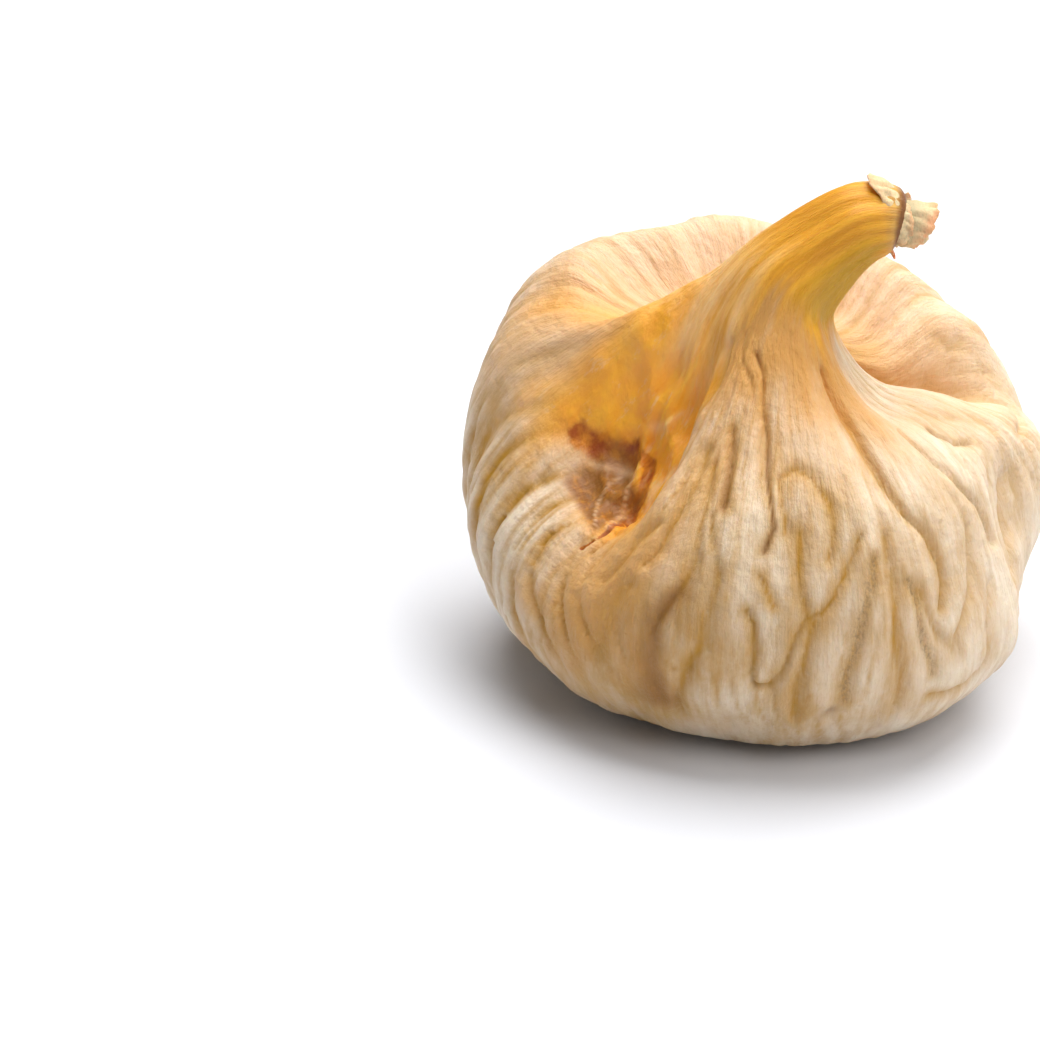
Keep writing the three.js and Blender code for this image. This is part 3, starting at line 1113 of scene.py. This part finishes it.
@dataclass(frozen=True)
class Placing:
    """How lengths about the neck's axis, in millimetres, become places in the frame, in metres."""

    low: np.ndarray
    scale: np.ndarray
    corner: np.ndarray

    @classmethod
    def over(cls, grid: np.ndarray) -> "Placing":
        """Fit a surface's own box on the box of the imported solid.

        Args:
            grid: the surface's points, as column, row and x, y, z.

        Returns:
            The placing that moves one box on the other.
        """
        low, high = grid.min(axis=(0, 1)), grid.max(axis=(0, 1))
        box_low, box_high = (np.array(corner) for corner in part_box(NODE))
        return cls(low, (box_high - box_low) / (high - low), box_low)

    def place(self, points: np.ndarray) -> np.ndarray:
        """Points of the fig, as places in the frame."""
        return (points - self.low) * self.scale + self.corner


TINTS = {
    "olive": (Zone((-85.0, 40.0), (11.6, 14.5), (25.0, 0.6), 0.75),),
    "rose": (Zone((10.0, 175.0), (9.3, 12.0), (12.0, 0.8), 0.95),
             Zone((-5.0, 200.0), (8.2, 12.0), (20.0, 1.0), 0.6)),
    # On the left of the front lobe this tan is partly the fig's own colour and partly painted shadow of a
    # neighbouring fruit that is not built; the second patch makes the skin darker towards the foot.
    "tan_and_shadow": (Zone((212.0, 285.0), (4.2, 7.9), (25.0, 1.2)),
               Zone((-200.0, 200.0), (3.0, 5.4), (16.0, 0.7), 0.7)),
    # The umber patch is partly the fig's own colour and partly painted shadow of the same neighbouring
    # fruit.
    "umber_and_shadow": (Zone((206.0, 240.0), (4.8, 7.0), (12.0, 0.9), 0.6),),
    "web": (Zone((180.0, 226.0), (8.5, 10.5), (7.0, 0.6)),),
    "haze": (Zone((150.0, 234.0), (9.9, 11.9), (12.0, 0.9)),),
    "blush": (Zone((205.0, 325.0), (9.2, 13.0), (16.0, 1.4)),
              Zone((150.0, 205.0), (8.6, 11.2), (12.0, 0.8)),
              Zone((205.0, 238.0), (6.2, 10.0), (14.0, 1.0), 0.8)),
}


@dataclass
class FigSkin:
    """The whole fruit: one closed, folded skin from the eye to the torn stalk."""

    body: Body = field(default_factory=Body)
    folds: Folds = field(default_factory=Folds)
    finish: SkinFinish = field(default_factory=SkinFinish)
    # Bearing, then the station where the skin turns from cream to amber.
    amber_edge: tuple[tuple[float, float], ...] = (
        (0, 11.3), (60, 11.2), (120, 11.0), (160, 10.4), (185, 9.4), (215, 9.3), (224, 10.3), (230, 11.2),
        (240, 11.75), (262, 11.8), (285, 11.55), (293, 10.9), (320, 11.2),
    )
    # Tint of the finish, then the patches of the skin that it colours.
    tints: dict[str, tuple[Zone, ...]] = field(default_factory=lambda: TINTS)
    facet: Zone = Zone((193.0, 210.5), (8.1, 9.05), (1.5, 0.1))
    # The skin's patterns are laid on a drum of this radius, and narrower on the neck.
    drum: float = 18.0
    neck_share: float = 0.28

    def _normals(self, grid: np.ndarray) -> np.ndarray:
        """Unit normals of a grid that closes round the fig, pointing out.

        Args:
            grid: the points, as column, row and x, y, z.

        Returns:
            The normals, in the same order.
        """
        around = np.roll(grid, -1, axis=0) - np.roll(grid, 1, axis=0)
        along = np.gradient(grid, axis=1)
        normal = np.cross(around, along)
        length = np.linalg.norm(normal, axis=2, keepdims=True)
        return normal / np.maximum(length, 1e-9)

    def _masks(self, skin: SkinMap) -> dict[str, np.ndarray]:
        """The masks that the finish reads, each from 0 to 1.

        Args:
            skin: the map of the skin.

        Returns:
            Mask name to its value at every point.
        """
        station = skin.station + 0.2 * Ripple(61, 14.0, 0.06, 30).at(skin.bearing, skin.path)
        bearing = skin.bearing + 3.0 * Ripple(62, 6.0, 0.1).at(skin.bearing, skin.path)
        moved = SkinMap(bearing, station, skin.path, skin.girth)
        turns, starts = zip(*self.amber_edge)
        edge = np.interp(skin.bearing, turns, starts, period=360.0)
        masks = {name: strongest(zones, moved) for name, zones in self.tints.items()}
        masks["umber_and_shadow"] = np.maximum(masks["umber_and_shadow"], smooth_step(skin.station, 3.2, 1.6))
        masks["facet"] = self.facet.on(skin)
        masks["amber"] = smooth_step(station - edge, -0.7, 0.6)
        masks["collar"] = smooth_step(skin.station, 14.35, 14.9)
        # Painted shade: the inside of the stalk's rim, in the gap behind the flaps, turns dark brown.
        masks["rim"] = smooth_step(skin.station, 14.8, 15.1)
        return masks

    def build(self, effects: SharedEffects) -> tuple[bpy.types.Object, Placing]:
        """Make the folded skin and dress it.

        Args:
            effects: the shader groups that finishes share.

        Returns:
            The new piece, in place, and how it was placed.
        """
        grid, stations = self.body.surface()
        skin = SkinMap.of(self.body, grid, stations)
        height, stains = self.folds.fields(skin)
        placing = Placing.over(grid)
        folded = grid + self._normals(grid) * height[..., None]
        on_sole = skin.station <= SOLE_EDGE
        folded[on_sole] = grid[on_sole]
        folded[..., 2] = np.maximum(folded[..., 2], 0.0)
        mesh = self._mesh(placing.place(folded))
        masks = {**self._masks(skin), **stains}
        turn = np.radians(skin.bearing)
        place = np.stack([self.drum * np.cos(turn), self.drum * np.sin(turn), skin.path], axis=-1)
        near = place * np.array([self.neck_share, self.neck_share, 1.0])
        self._paint(mesh, masks, {"skin_place": place, "neck_place": near})
        mesh.materials.append(self.finish.material(effects))
        piece = bpy.data.objects.new("fig_skin_and_neck", mesh)
        bpy.context.scene.collection.objects.link(piece)
        return piece, placing

    def _mesh(self, placed: np.ndarray) -> bpy.types.Mesh:
        """Turn the grid of points into a closed mesh.

        Args:
            placed: the points as column, row and x, y, z, in metres. All points of the first row
                are one pole and all points of the last row are the other.

        Returns:
            The mesh, smooth shaded.
        """
        columns, rows = placed.shape[:2]
        poles = [placed[:, 0].mean(axis=0), placed[:, -1].mean(axis=0)]
        inner = placed[:, 1:-1].reshape(-1, 3)
        ring = rows - 2
        index = np.arange(columns * ring).reshape(columns, ring) + 2
        after = np.roll(index, -1, axis=0)
        quads = np.stack([index[:, :-1], after[:, :-1], after[:, 1:], index[:, 1:]], axis=-1).reshape(-1, 4)
        lower = np.stack([np.zeros(columns, int), after[:, 0], index[:, 0]], axis=-1)
        upper = np.stack([np.ones(columns, int), index[:, -1], after[:, -1]], axis=-1)
        mesh = bpy.data.meshes.new("fig_skin_and_neck")
        points = np.concatenate([np.array(poles), inner])
        mesh.from_pydata(points.tolist(), [], quads.tolist() + lower.tolist() + upper.tolist())
        mesh.shade_smooth()
        return mesh

    @staticmethod
    def _paint(mesh: bpy.types.Mesh, masks: dict[str, np.ndarray], places: dict[str, np.ndarray]) -> None:
        """Store the masks and the place on the skin at each point of the mesh.

        Args:
            mesh: the skin's mesh.
            masks: mask name to a value for each point of the grid.
            places: name to the coordinates that the finish's patterns are laid on, in millimetres.
        """
        def spread(values: np.ndarray) -> np.ndarray:
            """Values in the mesh's own order of points: the two poles and then the grid."""
            ends = np.stack([values[:, 0].mean(axis=0), values[:, -1].mean(axis=0)])
            return np.concatenate([ends, values[:, 1:-1].reshape(-1, *values.shape[2:])])

        for name, values in masks.items():
            attribute = mesh.attributes.new(name, "FLOAT", "POINT")
            attribute.data.foreach_set("value", spread(values).astype(np.float32))
        for name, values in places.items():
            attribute = mesh.attributes.new(name, "FLOAT_VECTOR", "POINT")
            attribute.data.foreach_set("vector", spread(values).astype(np.float32).ravel())


@dataclass(frozen=True)
class Flap:
    """A torn, curled strip of the stalk, standing on the rim of the neck."""

    name: str
    bearings: tuple[float, float]
    root: float
    lengths: tuple[float, ...]
    flare: float
    curl: float
    torn: float
    # How much painted grey-green shade darkens the flap towards its root.
    shade_grey: float
    thickness: float = 0.22


@dataclass(frozen=True)
class TornStalk:
    """The flaps that are left where the fig was pulled from its twig."""

    rim: Ring = Ring(7.55, 33.92, 104.0, 1.7)
    sides: int = 34
    rises: int = 12
    flaps: tuple[Flap, ...] = (
        Flap("front_lip", (196.0, 352.0), 1.62, (0.55, 0.85, 1.15, 1.2, 0.95, 0.6, 0.3),
             4.0, -6.0, 0.4, 0.1),
        Flap("core", (165.0, 372.0), 1.35, (2.5, 2.55, 2.5, 2.3, 2.0, 1.6, 1.2), 10.0, -8.0, 0.55, 0.85),
        Flap("far_lip", (20.0, 150.0), 1.6, (0.6, 1.1, 1.4, 1.2, 0.7), 18.0, 15.0, 0.5, 0.5),
        Flap("turned_back", (146.0, 232.0), 1.9, (1.5, 2.2, 2.4, 2.2, 1.4, 0.6), 150.0, 25.0, 0.35, 0.1),
        Flap("lower_shred", (318.0, 368.0), 1.75, (0.4, 0.9, 1.1, 0.5), 35.0, 20.0, 1.0, 0.2),
    )
    finish: HuskFinish = HuskFinish()

    def _sheet(self, flap: Flap, seed: int) -> tuple[np.ndarray, np.ndarray]:
        """The middle sheet of a flap, and its unit normals.

        Args:
            flap: the flap to shape.
            seed: the seed of its crumples.

        Returns:
            The points and the normals, as side, rise and x, y, z, in millimetres.
        """
        lean = math.radians(self.rim.lean)
        axis = np.array([math.sin(lean), 0.0, math.cos(lean)])
        side, rise = np.meshgrid(
            np.linspace(0, 1, self.sides), np.linspace(0, 1, self.rises), indexing="ij")
        turn = flap.bearings[0] + side * (flap.bearings[1] - flap.bearings[0])
        length = np.interp(side, np.linspace(0, 1, len(flap.lengths)), flap.lengths)
        length = length * (1.0 + 0.035 * Ripple(seed, 14.0, 0.0).at(turn, rise))
        angle = np.radians(flap.flare + flap.curl * rise)
        step = length / (self.rises - 1)
        along = np.cumsum(np.cos(angle) * step[:, :1], axis=1)
        outward = flap.root + np.cumsum(np.sin(angle) * step[:, :1], axis=1)
        outward += 0.07 * Ripple(seed + 50, 22.0, 0.5).at(turn, rise * 2.0)
        unit = Ring(0.0, 0.0, self.rim.lean, 1.0).points(turn)
        middle = np.array([self.rim.x, 0.0, self.rim.z])
        points = middle + unit * outward[..., None] + axis * (along - 0.35)[..., None]
        normal = np.cross(np.gradient(points, axis=0), np.gradient(points, axis=1))
        return points, normal / np.maximum(np.linalg.norm(normal, axis=2, keepdims=True), 1e-9)

    def build(self, effects: SharedEffects, placing: "Placing") -> bpy.types.Object:
        """Make the flaps, each a thin closed shell, and dress them.

        Args:
            effects: the shader groups that finishes share.
            placing: how millimetres about the neck's axis become places in the frame.

        Returns:
            The new piece, in place.
        """
        points, faces, torn, shade_grey = [], [], [], []
        for index, flap in enumerate(self.flaps):
            sheet, normal = self._sheet(flap, 300 + index)
            rise = np.broadcast_to(np.linspace(0, 1, self.rises), sheet.shape[:2])
            thick = flap.thickness * (1.0 - 0.55 * rise[..., None])
            half = normal * thick / 2.0
            shell = np.concatenate([sheet + half, (sheet - half)[:, ::-1]], axis=1)
            start = sum(len(p) for p in points)
            sides, around = shell.shape[:2]
            grid = np.arange(sides * around).reshape(sides, around) + start
            after = np.roll(grid, -1, axis=1)
            quads = np.stack([grid[:-1], after[:-1], after[1:], grid[1:]], axis=-1).reshape(-1, 4)
            faces += quads.tolist() + [grid[0, ::-1].tolist(), grid[-1].tolist()]
            points.append(shell.reshape(-1, 3))
            up = np.concatenate([rise, rise[:, ::-1]], axis=1)
            torn.append((flap.torn * smooth_step(up, 0.55, 0.95)).ravel())
            # Painted shade: strongest at each flap's root, fading towards its tip.
            shade_grey.append((flap.shade_grey * smooth_step(up, 0.9, 0.2)).ravel())
        places = np.concatenate(points)
        mesh = bpy.data.meshes.new("torn_stalk")
        mesh.from_pydata(placing.place(places).tolist(), [], faces)
        mesh.shade_smooth()
        for name, values in {"torn": np.concatenate(torn), "shade_grey": np.concatenate(shade_grey)}.items():
            mesh.attributes.new(name, "FLOAT", "POINT").data.foreach_set("value", values.astype(np.float32))
        attribute = mesh.attributes.new("skin_place", "FLOAT_VECTOR", "POINT")
        attribute.data.foreach_set("vector", places.astype(np.float32).ravel())
        mesh.materials.append(self.finish.material(effects))
        piece = bpy.data.objects.new("torn_stalk", mesh)
        bpy.context.scene.collection.objects.link(piece)
        return piece


@dataclass(frozen=True)
class Lamp:
    """A square soft lamp that faces the fig: its place and side in metres, and its power in watts."""

    name: str
    place: tuple[float, float, float]
    side: float
    power: float
    color: tuple[float, float, float] = (1.0, 0.99, 0.97)

    def hang(self) -> None:
        """Put the lamp in the scene, turned towards the fig."""
        light = bpy.data.lights.new(self.name, "AREA")
        light.size = self.side
        light.energy = self.power
        light.color = self.color
        lamp = bpy.data.objects.new(self.name, light)
        lamp.location = self.place
        lamp.rotation_euler = (-Vector(self.place)).to_track_quat("-Z", "Y").to_euler()
        bpy.context.scene.collection.objects.link(lamp)


@dataclass(frozen=True)
class Studio:
    """The pale floor, the soft lights and the camera. Lengths are in metres."""

    elevation: float = 28.0
    distance: float = 0.400
    lens: float = 198.0
    aim: tuple[float, float, float] = (-0.01635, 0.00374, 0.00865)
    sensor: float = 36.0
    floor_size: float = 6.0
    room_light: float = 0.2
    lamps: tuple[Lamp, ...] = (
        Lamp("overhead_softbox", (0.08, 0.22, 0.70), 0.7, 9.2),
        Lamp("front_fill", (0.45, -0.42, 0.66), 0.6, 4.2),
        Lamp("back_glow", (0.30, 0.60, 0.35), 0.6, 1.1),
    )

    def build(self) -> None:
        """Set the whole studio up."""
        self._floor()
        self._world()
        for lamp in self.lamps:
            lamp.hang()
        self._camera()
        bpy.context.scene.view_settings.view_transform = "Standard"

    def _floor(self) -> None:
        """A plain floor under the fig."""
        half = self.floor_size / 2.0
        mesh = bpy.data.meshes.new("floor")
        corners = [(-half, -half, 0.0), (half, -half, 0.0), (half, half, 0.0), (-half, half, 0.0)]
        mesh.from_pydata(corners, [], [(0, 1, 2, 3)])
        mesh.materials.append(FloorFinish().material())
        floor = bpy.data.objects.new("floor", mesh)
        bpy.context.scene.collection.objects.link(floor)

    def _world(self) -> None:
        """White light from all round."""
        world = bpy.data.worlds.new("white_room")
        world.use_nodes = True
        back = world.node_tree.nodes["Background"]
        back.inputs["Color"].default_value = (1.0, 1.0, 1.0, 1.0)
        back.inputs["Strength"].default_value = self.room_light
        bpy.context.scene.world = world

    def _camera(self) -> None:
        """A long lens that looks down on the fig from the front."""
        data = bpy.data.cameras.new("camera")
        data.lens = self.lens
        data.sensor_width = self.sensor
        camera = bpy.data.objects.new("camera", data)
        tilt = math.radians(self.elevation)
        away = Vector((0.0, -math.cos(tilt), math.sin(tilt))) * self.distance
        camera.location = Vector(self.aim) + away
        camera.rotation_euler = (math.pi / 2.0 - tilt, 0.0, 0.0)
        bpy.context.scene.collection.objects.link(camera)
        bpy.context.scene.camera = camera


def report(piece: bpy.types.Object) -> None:
    """Log a finished piece and its size."""
    size = ", ".join(f"{side / MM:.1f}" for side in piece.dimensions)
    LOG.info("%s: %d faces, %s mm", piece.name, len(piece.data.polygons), size)


def mount(piece: bpy.types.Object) -> None:
    """Hang a piece on the root, hide the imported solid it stands for, and log its size.

    Args:
        piece: the finished piece.
    """
    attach(piece, "root")
    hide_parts(NODE)
    report(piece)


def main() -> None:
    """Build the fig and its studio, and note how large it came out."""
    logging.basicConfig(level=logging.INFO, format="%(message)s")
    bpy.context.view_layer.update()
    Studio().build()
    effects = SharedEffects()
    skin, placing = FigSkin().build(effects)
    stalk = TornStalk().build(effects, placing)
    for piece in (skin, stalk):
        mount(piece)


if __name__ == "__main__":
    main()
